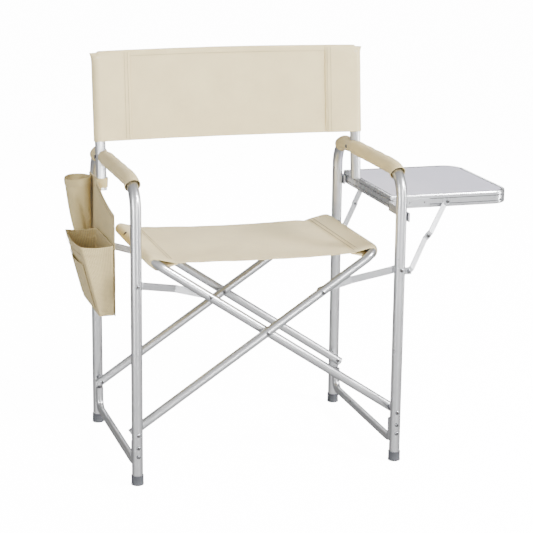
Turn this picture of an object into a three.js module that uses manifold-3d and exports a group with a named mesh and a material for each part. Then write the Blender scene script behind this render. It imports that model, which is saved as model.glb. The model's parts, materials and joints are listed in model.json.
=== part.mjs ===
// Folding camp chair with a side table and a hanging pouch.
// Millimetres, +Z up, front towards -Y. Everything is drawn from the point on the floor midway between
// the four legs, and moved at the end to the middle of the whole object.
import * as THREE from 'three';
import { mergeVertices } from 'three/addons/utils/BufferGeometryUtils.js';
import Module from 'manifold-3d';

const wasm = await Module();
wasm.setup();

// ---------------------------------------------------------------- driving dimensions
const GAP = 0.3; // clearance between neighbouring pieces
const LEG_X = 267.5; // leg centre line, left and right of the middle
const LEG_Y = 194.5; // leg centre line, front and rear of the middle
const LEG_R = 11; // 22 mm tube
const WALL = 1.5;
const ARM_Z = 598; // centre line of the arm
const ARM_BEND = 55;
const FOOT_H = 20;
const FOOT_FLOOR = 4;

const RAIL_R = 8; // lower side rail, 16 mm tube
const RAIL_Z = 38;
const RAIL_TOP = 84;
const RAIL_BEND = 20;
const RAIL_Y = LEG_Y - LEG_R - RAIL_R - GAP;

const SEAT_R = 9; // crossing frames, 18 mm tube
const PIVOT_Z = 104; // lower pivots of the crossing frames
const CROSS_Z = 284;
const SEAT_X = 224; // centre line of the seat rails
const SEAT_BEND = 26;
const OVERHANG = 10; // tube past its lower pivot
const NEAR_Y = LEG_Y - LEG_R - 1 - SEAT_R; // tube beside the legs
const FAR_Y = NEAR_Y - 2 * SEAT_R - 1; // tube inside the other frame's tube
const SLOPE = Math.atan2(CROSS_Z - PIVOT_Z, LEG_X);
const SEAT_Z = CROSS_Z + SEAT_X * Math.tan(SLOPE);

const POST_X = 274; // back posts
const POST_Y = 105; // at POST_REF_Z
const POST_REF_Z = 630;
const POST_LOW = 530;
const POST_HIGH = 797;
const RECLINE = THREE.MathUtils.degToRad(6);

const SLEEVE_R = 13.5; // fabric round the arms
const SLEEVE_TURN = 30; // degrees of each arm bend that the fabric covers
const CLOTH = 3; // thickness of the plain fabric solids
const SEAT_FABRIC_Y = 150;
const BACK_LOW = 628;
const BACK_HIGH = 813;

const LINK_Z = 401; // spreader link pivots on the legs
const LINK_ALONG = 135.8; // from the crossing to the link's rivet
const LINK_W = 15;
const LINK_T = 2.5;

const PIN_R = 2.5;
const HEAD_R = 4.2;
const HEAD_T = 1.4;
const DRILL_R = 3;

const TABLE = { x0: 285, x1: 550, y0: -90, y1: 205, z0: 500, z1: 527, corner: 40, wall: 8, panel: 6 };
const HINGE = { x: 298, z: 508 };
const PLATE_T = 2.9; // hinge plates and brackets
const BRACE_T = 2.2;
const BRACE_W = 12;
const BRACE_X = 285.5; // lower brace pivots
const FRONT_BRACE = { low: [BRACE_X, 397], top: [408, 511] };
const REAR_BRACE = { low: [BRACE_X, 386], top: [345, 512] };

const POUCH_X = -283; // inboard face of the pouch's back panel
const POUCH_T = 3;
const WEDGE = { y0: -80, y1: 100, z0: 312, z1: 455, top: 60, bottom: 31, wall: 2.5 };
const BOTTLE = { y: 140, z0: 410, z1: 553, top: 28.3, bottom: 20, wall: 2.2 };
const LOOP = { z0: 538, z1: 556 };

const MIDDLE = { x: 101.85, y: 4.4 }; // middle of the whole object, measured from the legs' middle

const ROUND = 14; // facets round a tube
const BEND_STEPS = 6;

// ---------------------------------------------------------------- materials
const finish = {
  tube: [0xc3c5c9, 0.32, 1],
  plastic: [0x6f7176, 0.6, 0],
  canvas: [0xd9cfb8, 0.9, 0],
  pouch: [0xc9b791, 0.9, 0],
  linen: [0xd6c8a8, 0.95, 0],
  steel: [0xb4b6ba, 0.28, 1],
  strip: [0xd2d4d8, 0.35, 1],
  panel: [0xd2d1d8, 0.5, 0],
  rim: [0xb9bcc2, 0.3, 1],
};

const chair = new THREE.Group();

function add(name, geometry, look) {
  const [color, roughness, metalness] = finish[look];
  const mesh = new THREE.Mesh(geometry, new THREE.MeshStandardMaterial({ color, roughness, metalness }));
  mesh.name = name;
  chair.add(mesh);
  return mesh;
}

// ---------------------------------------------------------------- solids
function solid(geometry) {
  const bare = geometry.clone();
  bare.deleteAttribute('normal');
  bare.deleteAttribute('uv');
  const merged = mergeVertices(bare, 1e-4);
  const vertProperties = new Float32Array(merged.attributes.position.array);
  const triVerts = new Uint32Array(merged.index.array);
  return new wasm.Manifold(new wasm.Mesh({ numProp: 3, vertProperties, triVerts }));
}

function geometryOf(body) {
  const mesh = body.getMesh();
  const geometry = new THREE.BufferGeometry();
  geometry.setAttribute('position', new THREE.BufferAttribute(new Float32Array(mesh.vertProperties), 3));
  geometry.setIndex(new THREE.BufferAttribute(new Uint32Array(mesh.triVerts), 1));
  return geometry;
}

function cut(geometry, tools) {
  let body = solid(geometry);
  for (const tool of tools) {
    body = body.subtract(solid(tool));
  }
  return geometryOf(body);
}

function join(parts) {
  let body = solid(parts[0]);
  for (const part of parts.slice(1)) {
    body = body.add(solid(part));
  }
  return geometryOf(body);
}

// A path through chosen stations, so that straight runs need no facets between their ends.
class StationPath extends THREE.Curve {
  constructor(stations) {
    super();
    this.stations = stations;
  }

  get last() {
    return this.stations.length - 1;
  }

  getPointAt(u, target = new THREE.Vector3()) {
    return target.copy(this.stations[Math.round(u * this.last)].point);
  }

  getTangentAt(u, target = new THREE.Vector3()) {
    return target.copy(this.stations[Math.round(u * this.last)].tangent);
  }
}

// Straight runs between the corners, with a round bend of the given radius at each inner corner.
function bentStations(corners, radius) {
  const points = corners.map((corner) => new THREE.Vector3(...corner));
  const stations = [];
  const heading = (i) => points[i + 1].clone().sub(points[i]).normalize();
  stations.push({ point: points[0], tangent: heading(0) });
  for (let i = 1; i < points.length - 1; i += 1) {
    const into = heading(i - 1);
    const out = heading(i);
    const angle = into.angleTo(out);
    const setback = radius * Math.tan(angle / 2);
    const side = out.clone().addScaledVector(into, -out.dot(into)).normalize();
    const start = points[i].clone().addScaledVector(into, -setback);
    const centre = start.clone().addScaledVector(side, radius);
    for (let step = 0; step <= BEND_STEPS; step += 1) {
      const turn = (angle * step) / BEND_STEPS;
      const point = centre.clone().addScaledVector(side, -radius * Math.cos(turn));
      point.addScaledVector(into, radius * Math.sin(turn));
      const tangent = into.clone().multiplyScalar(Math.cos(turn)).addScaledVector(side, Math.sin(turn));
      stations.push({ point, tangent });
    }
  }
  stations.push({ point: points[points.length - 1], tangent: heading(points.length - 2) });
  return stations;
}

function ringShape(outer, inner, sides = ROUND) {
  const circle = (radius) => {
    const points = [];
    for (let i = 0; i < sides; i += 1) {
      const angle = (2 * Math.PI * i) / sides;
      points.push(new THREE.Vector2(radius * Math.cos(angle), radius * Math.sin(angle)));
    }
    return points;
  };
  const shape = new THREE.Shape(circle(outer));
  if (inner > 0) {
    shape.holes.push(new THREE.Path(circle(inner)));
  }
  return shape;
}

function tube(stations, outer, inner, sides = ROUND) {
  const extrudePath = new StationPath(stations);
  return new THREE.ExtrudeGeometry(ringShape(outer, inner, sides), { steps: extrudePath.last, extrudePath });
}

function straightTube(from, to, outer, inner, sides = ROUND) {
  return tube(bentStations([from, to], 1), outer, inner, sides);
}

// A box given by its lowest and highest corners.
function block(low, high) {
  const size = high.map((value, i) => value - low[i]);
  const box = new THREE.BoxGeometry(...size);
  box.translate(...high.map((value, i) => (value + low[i]) / 2));
  return box;
}

// A shape drawn in X and Z, given its thickness along Y from y0 to y1.
function slabAlongY(shape, y0, y1, curveSegments = 6) {
  const slab = new THREE.ExtrudeGeometry(shape, { depth: y1 - y0, bevelEnabled: false, curveSegments });
  slab.rotateX(Math.PI / 2);
  slab.translate(0, y1, 0);
  return slab;
}

// A shape drawn in X and Y, given its thickness along Z from z0 to z1.
function slabAlongZ(shape, z0, z1, curveSegments = 6) {
  const slab = new THREE.ExtrudeGeometry(shape, { depth: z1 - z0, bevelEnabled: false, curveSegments });
  slab.translate(0, 0, z0);
  return slab;
}

// ---------------------------------------------------------------- fasteners
// A rivet along Y at (x, z), from y0 to y1, headed where asked, with an optional spacer collar.
function rivetAlongY(x, z, y0, y1, { heads = [true, true], collar = null } = {}) {
  const profile = [[0, y0 - (heads[0] ? HEAD_T : 0)]];
  if (heads[0]) {
    profile.push([HEAD_R * 0.7, y0 - HEAD_T], [HEAD_R, y0 - HEAD_T * 0.4], [HEAD_R, y0]);
  }
  profile.push([PIN_R, y0]);
  if (collar) {
    profile.push([PIN_R, collar.y0], [collar.r, collar.y0], [collar.r, collar.y1], [PIN_R, collar.y1]);
  }
  profile.push([PIN_R, y1]);
  if (heads[1]) {
    profile.push([HEAD_R, y1], [HEAD_R, y1 + HEAD_T * 0.4], [HEAD_R * 0.7, y1 + HEAD_T]);
  }
  profile.push([0, y1 + (heads[1] ? HEAD_T : 0)]);
  const pin = new THREE.LatheGeometry(profile.map(([r, y]) => new THREE.Vector2(r, y)), 10);
  pin.translate(x, 0, z);
  return pin;
}

function drillAlongY(x, z, y0, y1, radius = DRILL_R) {
  const drill = new THREE.CylinderGeometry(radius, radius, Math.abs(y1 - y0), 10);
  drill.translate(x, (y0 + y1) / 2, z);
  return drill;
}

function drillAlongX(y, z, x0, x1, radius = DRILL_R) {
  const drill = new THREE.CylinderGeometry(radius, radius, Math.abs(x1 - x0), 10);
  drill.rotateZ(Math.PI / 2);
  drill.translate((x0 + x1) / 2, y, z);
  return drill;
}

// ---------------------------------------------------------------- side frames, feet and lower rails
const sides = [
  { name: 'left', sign: -1 },
  { name: 'right', sign: 1 },
];
const ends = [
  { name: 'front', sign: -1 },
  { name: 'rear', sign: 1 },
];

const postY = (z) => POST_Y + (z - POST_REF_Z) * Math.tan(RECLINE);
const postScrewSpan = [LEG_X - SLEEVE_R - GAP, POST_X + LEG_R + GAP];

function sideFrame(sign) {
  const x = sign * LEG_X;
  const corners = [[x, -LEG_Y, FOOT_FLOOR], [x, -LEG_Y, ARM_Z], [x, LEG_Y, ARM_Z], [x, LEG_Y, FOOT_FLOOR]];
  const drills = [drillAlongX(postY(ARM_Z), ARM_Z, sign * (LEG_X - 14), sign * (LEG_X + 14))];
  for (const end of ends) {
    const reach = [end.sign * (LEG_Y - 14), end.sign * (LEG_Y + 14)];
    drills.push(drillAlongY(x, PIVOT_Z, ...reach), drillAlongY(x, LINK_Z, ...reach));
  }
  return cut(tube(bentStations(corners, ARM_BEND), LEG_R, LEG_R - WALL), drills);
}

function footCap(sideSign, endSign) {
  const inner = LEG_R + GAP;
  const outer = inner + 1.4;
  const floor = FOOT_FLOOR - GAP;
  const outside = [[0, 0], [outer - 1, 0], [outer, 1.5], [outer, FOOT_H]];
  const inside = [[inner, FOOT_H], [inner, floor], [0, floor]];
  const profile = [...outside, ...inside];
  const cap = new THREE.LatheGeometry(profile.map(([r, y]) => new THREE.Vector2(r, y)), ROUND);
  cap.rotateX(Math.PI / 2);
  cap.translate(sideSign * LEG_X, endSign * LEG_Y, 0);
  return cap;
}

function lowerRail(sign) {
  const x = sign * LEG_X;
  const corners = [[x, -RAIL_Y, RAIL_TOP], [x, -RAIL_Y, RAIL_Z], [x, RAIL_Y, RAIL_Z], [x, RAIL_Y, RAIL_TOP]];
  return tube(bentStations(corners, RAIL_BEND), RAIL_R, RAIL_R - WALL, 12);
}

// The fabric round an arm follows the tube a little way round each bend.
function armSleeve(sign) {
  const x = sign * LEG_X;
  const turn = THREE.MathUtils.degToRad(SLEEVE_TURN);
  const centreY = LEG_Y - ARM_BEND;
  const centreZ = ARM_Z - ARM_BEND;
  const count = Math.round((SLEEVE_TURN * BEND_STEPS) / 90);
  const stations = [];
  for (const end of ends) {
    for (let step = 0; step <= count; step += 1) {
      const share = step / count;
      const angle = end.sign * turn * (end.sign < 0 ? 1 - share : share);
      const y = end.sign * centreY + ARM_BEND * Math.sin(angle);
      const point = new THREE.Vector3(x, y, centreZ + ARM_BEND * Math.cos(angle));
      stations.push({ point, tangent: new THREE.Vector3(0, Math.cos(angle), -Math.sin(angle)) });
    }
  }
  const drill = drillAlongX(postY(ARM_Z), ARM_Z, sign * (LEG_X - 16), sign * (LEG_X + 16));
  return cut(tube(stations, SLEEVE_R, LEG_R + GAP + 0.1), [drill]);
}

// The back post is cupped where it passes the covered arm, so that it can sit close to the arm's plane.
function backPost(sign) {
  const foot = [sign * POST_X, postY(POST_LOW), POST_LOW];
  const head = [sign * POST_X, postY(POST_HIGH), POST_HIGH];
  const cup = drillAlongY(sign * LEG_X, ARM_Z, POST_Y - 40, POST_Y + 40, SLEEVE_R + 0.7);
  const screw = drillAlongX(postY(ARM_Z), ARM_Z, sign * (POST_X - 14), sign * (POST_X + 14));
  return cut(straightTube(foot, head, LEG_R, LEG_R - WALL), [cup, screw]);
}

function postScrew(sign) {
  const screw = rivetAlongY(0, 0, postScrewSpan[0], postScrewSpan[1]);
  screw.rotateZ(-Math.PI / 2);
  if (sign < 0) {
    screw.rotateZ(Math.PI);
  }
  screw.translate(0, postY(ARM_Z), ARM_Z);
  return screw;
}

for (const side of sides) {
  add(`side_frame_${side.name}`, sideFrame(side.sign), 'tube');
  add(`lower_rail_${side.name}`, lowerRail(side.sign), 'tube');
  add(`back_post_${side.name}`, backPost(side.sign), 'tube');
  add(`post_screw_${side.name}`, postScrew(side.sign), 'steel');
  add(`arm_sleeve_${side.name}`, armSleeve(side.sign), 'canvas');
  for (const end of ends) {
    add(`foot_${side.name}_${end.name}`, footCap(side.sign, end.sign), 'plastic');
  }
}

// ---------------------------------------------------------------- crossing seat frames
// Drawn with the seat rail on the right and the lower ends at the left legs. The other frame is the
// same one, turned half a turn about the middle.
function seatFrameStations() {
  const startX = -LEG_X - OVERHANG * Math.cos(SLOPE);
  const startZ = PIVOT_Z - OVERHANG * Math.sin(SLOPE);
  const nearLimb = [[startX, -NEAR_Y, startZ], [SEAT_X, -NEAR_Y, SEAT_Z]];
  const farLimb = [[SEAT_X, FAR_Y, SEAT_Z], [startX, FAR_Y, startZ]];
  const corners = [...nearLimb, ...farLimb];
  return bentStations(corners, SEAT_BEND);
}

const linkX = LINK_ALONG * Math.cos(SLOPE);
const linkZ = CROSS_Z + LINK_ALONG * Math.sin(SLOPE);

function seatFrame() {
  const drills = [];
  for (const y of [-NEAR_Y, FAR_Y]) {
    const reach = [y - 12, y + 12];
    drills.push(drillAlongY(-LEG_X, PIVOT_Z, ...reach), drillAlongY(0, CROSS_Z, ...reach));
    drills.push(drillAlongY(linkX, linkZ, ...reach));
  }
  return cut(tube(seatFrameStations(), SEAT_R, SEAT_R - WALL), drills);
}

function seatFrameClearance() {
  return tube(seatFrameStations(), SEAT_R + 0.4, 0);
}

add('seat_frame_right', seatFrame(), 'tube');
add('seat_frame_left', seatFrame().rotateZ(Math.PI), 'tube');

// Crossing pins, lower pivots and the rivets that hold the spreader links.
for (const end of ends) {
  const inner = FAR_Y - SEAT_R - GAP;
  const outer = NEAR_Y + SEAT_R + GAP;
  const [low, high] = end.sign < 0 ? [-outer, -inner] : [inner, outer];
  add(`cross_pin_${end.name}`, rivetAlongY(0, CROSS_Z, low, high), 'steel');
}

// The tube beside the legs needs a short pivot, and the tube inside it needs a spacer collar.
function lowerPivot(sideSign, endSign) {
  const close = sideSign === endSign;
  const tubeY = close ? NEAR_Y : FAR_Y;
  const inner = tubeY - SEAT_R - GAP;
  const outer = LEG_Y + LEG_R + GAP;
  const spacer = { y0: FAR_Y + SEAT_R + GAP, y1: LEG_Y - LEG_R - GAP, r: 5.5 };
  const ordered = endSign < 0 ? { y0: -spacer.y1, y1: -spacer.y0, r: spacer.r } : spacer;
  const [low, high] = endSign < 0 ? [-outer, -inner] : [inner, outer];
  return rivetAlongY(sideSign * LEG_X, PIVOT_Z, low, high, { collar: close ? null : ordered });
}

// ---------------------------------------------------------------- flat strips
// A flat strip from one pivot to the next in X and Z. Seen from above it steps sideways in Y, between
// the two distances along it that the step is given.
function steppedStrip(from, to, yFrom, yTo, step, width, thickness, holes) {
  const dx = to[0] - from[0];
  const dz = to[1] - from[1];
  const length = Math.hypot(dx, dz);
  const half = width / 2;
  const plan = [[-half, yFrom], [step[0], yFrom], [step[1], yTo], [length + half, yTo]];
  const offset = (points, by) => points.map(([x, y]) => new THREE.Vector2(x, y + by));
  const outline = offset(plan, -thickness / 2).concat(offset(plan, thickness / 2).reverse());
  const strip = slabAlongZ(new THREE.Shape(outline), -half, half);
  const low = Math.min(yFrom, yTo) - 2 * thickness;
  const high = Math.max(yFrom, yTo) + 2 * thickness;
  const rounding = new THREE.Shape();
  rounding.absarc(0, 0, half, Math.PI / 2, (3 * Math.PI) / 2, false);
  rounding.absarc(length, 0, half, -Math.PI / 2, Math.PI / 2, false);
  rounding.closePath();
  const body = solid(strip).intersect(solid(slabAlongY(rounding, low, high)));
  const drills = holes.map((at) => drillAlongY(at * length, 0, low - 1, high + 1));
  let drilled = body;
  for (const drill of drills) {
    drilled = drilled.subtract(solid(drill));
  }
  const geometry = geometryOf(drilled);
  geometry.rotateY(-Math.atan2(dz, dx));
  geometry.translate(from[0], 0, from[1]);
  return geometry;
}

// The tube that rises on this side, and whether its link lies on its outer face. Three of the links lie
// on the inner face, and the rear right one lies on the outer face.
function linkedTube(sideSign, endSign) {
  const tubeY = sideSign === endSign ? FAR_Y : NEAR_Y;
  const outside = sideSign > 0 && endSign > 0;
  return { tubeY, outside };
}

function spreaderLink(sideSign, endSign) {
  const { tubeY, outside } = linkedTube(sideSign, endSign);
  const legSideY = LEG_Y - LEG_R - GAP - LINK_T / 2;
  const tubeSideY = tubeY + (outside ? 1 : -1) * (SEAT_R + 0.7 + LINK_T / 2);
  const from = [sideSign * LEG_X, LINK_Z];
  const to = [sideSign * linkX, linkZ];
  return steppedStrip(from, to, endSign * legSideY, endSign * tubeSideY, [16, 92], LINK_W, LINK_T, [0]);
}

// The rivet of a spreader link has its head on the face of the tube away from the link.
function frameRivet(sideSign, endSign) {
  const { tubeY, outside } = linkedTube(sideSign, endSign);
  const reach = SEAT_R + GAP;
  const blind = SEAT_R - 0.2;
  const [inner, outer] = outside ? [tubeY - reach, tubeY + blind] : [tubeY - blind, tubeY + reach];
  const [low, high] = endSign < 0 ? [-outer, -inner] : [inner, outer];
  const headHigh = outside ? endSign < 0 : endSign > 0;
  return rivetAlongY(sideSign * linkX, linkZ, low, high, { heads: [!headHigh, headHigh] });
}

for (const side of sides) {
  for (const end of ends) {
    const name = `${side.name}_${end.name}`;
    add(`pivot_pin_${name}`, lowerPivot(side.sign, end.sign), 'steel');
    add(`spreader_link_${name}`, spreaderLink(side.sign, end.sign), 'strip');
    const legIn = LEG_Y - LEG_R - GAP - LINK_T - GAP;
    const legOut = LEG_Y + LEG_R + GAP;
    const leg = end.sign < 0 ? [-legOut, -legIn] : [legIn, legOut];
    add(`link_pin_${name}`, rivetAlongY(side.sign * LEG_X, LINK_Z, ...leg), 'steel');
    add(`frame_rivet_${name}`, frameRivet(side.sign, end.sign), 'steel');
  }
}

// ---------------------------------------------------------------- seat and backrest fabric
function seatFabric() {
  const sleeve = SEAT_R + 3;
  const seam = 188;
  const seamZ = SEAT_Z - 6;
  const sag = 6;
  const shape = new THREE.Shape();
  shape.moveTo(-seam, seamZ - CLOTH / 2);
  shape.quadraticCurveTo(0, seamZ - CLOTH / 2 - 2 * sag, seam, seamZ - CLOTH / 2);
  shape.lineTo(SEAT_X - 4, SEAT_Z - sleeve + 0.7);
  shape.absarc(SEAT_X, SEAT_Z, sleeve, -Math.PI * 0.6, Math.PI * 0.75, false);
  shape.lineTo(seam, seamZ + CLOTH / 2);
  shape.quadraticCurveTo(0, seamZ + CLOTH / 2 - 2 * sag, -seam, seamZ + CLOTH / 2);
  shape.absarc(-SEAT_X, SEAT_Z, sleeve, Math.PI * 0.25, Math.PI * 1.6, false);
  shape.closePath();
  const cloth = slabAlongY(shape, -SEAT_FABRIC_Y, SEAT_FABRIC_Y, 8);
  return cut(cloth, [seatFrameClearance(), seatFrameClearance().rotateZ(Math.PI)]);
}

function backFabric() {
  const sleeve = LEG_R + 2.4;
  const seam = 215;
  const sag = 8;
  const tall = (BACK_HIGH - BACK_LOW) / Math.cos(RECLINE);
  const shape = new THREE.Shape();
  shape.moveTo(-seam, 0);
  shape.quadraticCurveTo(0, 2 * sag, seam, 0);
  shape.absarc(POST_X, 0, sleeve, -Math.PI * 0.65, Math.PI * 0.65, false);
  shape.lineTo(seam, CLOTH);
  shape.quadraticCurveTo(0, CLOTH + 2 * sag, -seam, CLOTH);
  shape.absarc(-POST_X, 0, sleeve, Math.PI * 0.35, Math.PI * 1.65, false);
  shape.closePath();
  const cloth = slabAlongZ(shape, 0, tall, 8);
  const bores = sides.map(({ sign }) => {
    const bore = new THREE.CylinderGeometry(LEG_R + 0.5, LEG_R + 0.5, 2 * tall, ROUND);
    bore.rotateX(Math.PI / 2);
    bore.translate(sign * POST_X, 0, 0);
    return bore;
  });
  const panel = cut(cloth, bores);
  panel.rotateX(-RECLINE);
  panel.translate(0, postY(BACK_LOW), BACK_LOW);
  return panel;
}

add('seat_fabric', seatFabric(), 'canvas');
add('backrest_fabric', backFabric(), 'canvas');

// ---------------------------------------------------------------- pouch
function pouchPanel() {
  const foot = [[-82, 310], [102, 310], [170, 405]];
  const top = [[170, 556], [100, 556], [55, 540], [0, 526], [-82, 515]];
  const outline = [...foot, ...top];
  const shape = new THREE.Shape(outline.map(([y, z]) => new THREE.Vector2(y, z)));
  const panel = new THREE.ExtrudeGeometry(shape, { depth: POUCH_T, bevelEnabled: false });
  panel.rotateX(Math.PI / 2);
  panel.rotateZ(Math.PI / 2);
  panel.translate(POUCH_X - POUCH_T, 0, 0);
  const z = (LOOP.z0 + LOOP.z1) / 2;
  const bore = new THREE.CylinderGeometry(LEG_R + 0.8, LEG_R + 0.8, 60, ROUND);
  const loop = new THREE.CylinderGeometry(LEG_R + 3, LEG_R + 3, LOOP.z1 - LOOP.z0, ROUND);
  for (const piece of [bore, loop]) {
    piece.rotateX(Math.PI / 2 - RECLINE);
    piece.translate(-POST_X, postY(z), z);
  }
  return geometryOf(solid(panel).add(solid(loop)).subtract(solid(bore)));
}

// The lower pocket is a wedge, wide at its open top, against the back panel.
function wedgePocket() {
  const back = POUCH_X - POUCH_T - GAP;
  const wedge = (inset, rise) => {
    const front = [[back, WEDGE.z1 + rise], [back - WEDGE.top + inset, WEDGE.z1 + rise]];
    const low = [[back - WEDGE.bottom + inset, WEDGE.z0 + inset], [back, WEDGE.z0 + inset]];
    return new THREE.Shape(front.concat(low).map(([x, z]) => new THREE.Vector2(x, z)));
  };
  const outer = slabAlongY(wedge(0, 0), WEDGE.y0, WEDGE.y1);
  const inner = slabAlongY(wedge(WEDGE.wall, 1), WEDGE.y0 + WEDGE.wall, WEDGE.y1 - WEDGE.wall);
  inner.translate(-WEDGE.wall / 2, 0, 0);
  return cut(outer, [inner]);
}

// The tall pocket for a bottle narrows downwards and stays against the back panel.
function bottlePocket() {
  const height = BOTTLE.z1 - BOTTLE.z0;
  const cone = (inset, rise) => {
    const body = new THREE.CylinderGeometry(BOTTLE.top - inset, BOTTLE.bottom - inset, height + rise, 18);
    body.rotateX(Math.PI / 2);
    body.translate(0, 0, (height + rise) / 2);
    return body;
  };
  const hollow = cone(BOTTLE.wall, 2);
  hollow.translate(0, 0, BOTTLE.wall);
  const pocket = cut(cone(0, 0), [hollow]);
  const lean = (BOTTLE.top - BOTTLE.bottom) / height;
  pocket.applyMatrix4(new THREE.Matrix4().makeShear(0, 0, 0, 0, -lean, 0));
  pocket.translate(POUCH_X - POUCH_T - GAP - BOTTLE.bottom, BOTTLE.y, BOTTLE.z0);
  return pocket;
}

add('pouch_panel', pouchPanel(), 'pouch');
add('pouch_wedge_pocket', wedgePocket(), 'linen');
add('pouch_bottle_pocket', bottlePocket(), 'pouch');

// ---------------------------------------------------------------- side table
// The outer corners are round, and the inner ones beside the chair are square.
function tableOutline(inset) {
  const [x0, x1] = [TABLE.x0 + inset, TABLE.x1 - inset];
  const [y0, y1] = [TABLE.y0 + inset, TABLE.y1 - inset];
  const r = TABLE.corner - inset;
  const shape = new THREE.Shape();
  shape.moveTo(x0, y0);
  shape.lineTo(x1 - r, y0);
  shape.absarc(x1 - r, y0 + r, r, -Math.PI / 2, 0, false);
  shape.absarc(x1 - r, y1 - r, r, 0, Math.PI / 2, false);
  shape.lineTo(x0, y1);
  shape.closePath();
  return shape;
}

function tableRim() {
  const ring = slabAlongZ(tableOutline(0), TABLE.z0, TABLE.z1, 8);
  const opening = slabAlongZ(tableOutline(TABLE.wall), TABLE.z0 - 1, TABLE.z1 + 1, 8);
  const reach = TABLE.wall + 1;
  const pins = [
    drillAlongY(FRONT_BRACE.top[0], FRONT_BRACE.top[1], TABLE.y0 - 1, TABLE.y0 + reach),
    drillAlongY(REAR_BRACE.top[0], REAR_BRACE.top[1], TABLE.y1 - reach, TABLE.y1 + 1),
    drillAlongY(HINGE.x, HINGE.z, TABLE.y0 - 1, TABLE.y0 + reach),
    drillAlongY(HINGE.x, HINGE.z, TABLE.y1 - reach, TABLE.y1 + 1),
  ];
  return cut(ring, [opening, ...pins]);
}

function tablePanel() {
  return slabAlongZ(tableOutline(TABLE.wall + GAP), TABLE.z1 - TABLE.panel, TABLE.z1 - 1, 8);
}

// A plate in X and Z with a hinge hole, standing from y0 to y1.
function hingePlate(x0, x1, y0, y1) {
  const plate = block([x0, y0, HINGE.z - 7], [x1, y1, HINGE.z + 11]);
  return cut(plate, [drillAlongY(HINGE.x, HINGE.z, y0 - 1, y1 + 1)]);
}

// The fixed bracket is a bar along the outside of the legs with an ear for the hinge pin.
function tableBracket(legSide, earLow, earHigh) {
  const inner = LEG_X + LEG_R + GAP;
  const barStart = [inner, Math.min(legSide, earLow), HINGE.z - 9];
  const barEnd = [inner + 3.2, Math.max(legSide, earHigh), HINGE.z + 9];
  const bar = block(barStart, barEnd);
  const ear = block([inner, earLow, HINGE.z - 9], [HINGE.x + 9, earHigh, HINGE.z + 9]);
  const bore = solid(drillAlongY(HINGE.x, HINGE.z, earLow - 1, earHigh + 1));
  return geometryOf(solid(join([bar, ear])).subtract(bore));
}

// Layers outwards from the table's front and rear faces: hinge plate, then the ear of the bracket.
const frontPlate = [TABLE.y0 - GAP - PLATE_T, TABLE.y0 - GAP];
const frontEar = [frontPlate[0] - 0.5 - PLATE_T, frontPlate[0] - 0.5];
const rearPlate = [TABLE.y1 + GAP, TABLE.y1 + GAP + PLATE_T];
const rearEar = [rearPlate[1] + 0.5, rearPlate[1] + 0.5 + PLATE_T];

add('table_rim', tableRim(), 'rim');
add('table_panel', tablePanel(), 'panel');
add('hinge_plate_front', hingePlate(HINGE.x - 9, 368, ...frontPlate), 'strip');
add('hinge_plate_rear', hingePlate(HINGE.x - 9, 326, ...rearPlate), 'strip');
add('table_bracket_front', tableBracket(-LEG_Y - LEG_R, ...frontEar), 'strip');
add('table_bracket_rear', tableBracket(LEG_Y - LEG_R, ...rearEar), 'strip');
const frontHingePin = [frontEar[0] - GAP, TABLE.y0 + TABLE.wall + GAP];
const rearHingePin = [TABLE.y1 - TABLE.wall - GAP, rearEar[1] + GAP];
add('hinge_pin_front', rivetAlongY(HINGE.x, HINGE.z, ...frontHingePin), 'steel');
add('hinge_pin_rear', rivetAlongY(HINGE.x, HINGE.z, ...rearHingePin), 'steel');

// ---------------------------------------------------------------- folding braces of the table
// The front brace reaches back from the front leg to the table's front face. The rear brace lies flat
// behind the rear leg and the table's rear face.
const frontKnuckleY = -(LEG_Y - TABLE.y0) / 2;
const frontClipY = [-LEG_Y - 1.5, -LEG_Y + 1.5];
const frontLowY = frontClipY[0] - 0.5 - BRACE_T / 2;
const frontTopY = TABLE.y0 - 0.6 - BRACE_T / 2;
const rearClipY = [LEG_Y + LEG_R + GAP, LEG_Y + LEG_R + GAP + 2];
const rearLowY = rearClipY[1] + 0.5 + BRACE_T / 2;
const rearHighY = rearEar[1] + 0.5 + BRACE_T / 2;
const frontStep = [9, 75];

function braceClip(x0, yLow, yHigh, z) {
  const clip = block([x0, yLow, z - 7], [BRACE_X + 7, yHigh, z + 7]);
  return cut(clip, [drillAlongY(BRACE_X, z, yLow - 1, yHigh + 1)]);
}

function brace(from, to, yFrom, yTo, step, holes) {
  return steppedStrip(from, to, yFrom, yTo, step, BRACE_W, BRACE_T, holes);
}

const frontLowKnuckleY = frontKnuckleY - 1.4;
const frontHighKnuckleY = frontKnuckleY + 1.4;
const middle = ({ low, top }) => [(low[0] + top[0]) / 2, (low[1] + top[1]) / 2];
const { low: fLow, top: fTop } = FRONT_BRACE;
const { low: rLow, top: rTop } = REAR_BRACE;
const fMid = middle(FRONT_BRACE);
const rMid = middle(REAR_BRACE);
const halfT = BRACE_T / 2;

add('brace_clip_front', braceClip(LEG_X + LEG_R + GAP, ...frontClipY, fLow[1]), 'strip');
add('brace_clip_rear', braceClip(LEG_X - 6, ...rearClipY, rLow[1]), 'strip');
add('brace_lower_front', brace(fLow, fMid, frontLowY, frontLowKnuckleY, frontStep, [0, 1]), 'strip');
add('brace_upper_front', brace(fTop, fMid, frontTopY, frontHighKnuckleY, frontStep, [0]), 'strip');
add('brace_lower_rear', brace(rLow, rMid, rearLowY, rearLowY, [20, 30], [0, 1]), 'strip');
add('brace_upper_rear', brace(rTop, rMid, rearHighY, rearHighY, [20, 30], [0]), 'strip');

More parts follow.
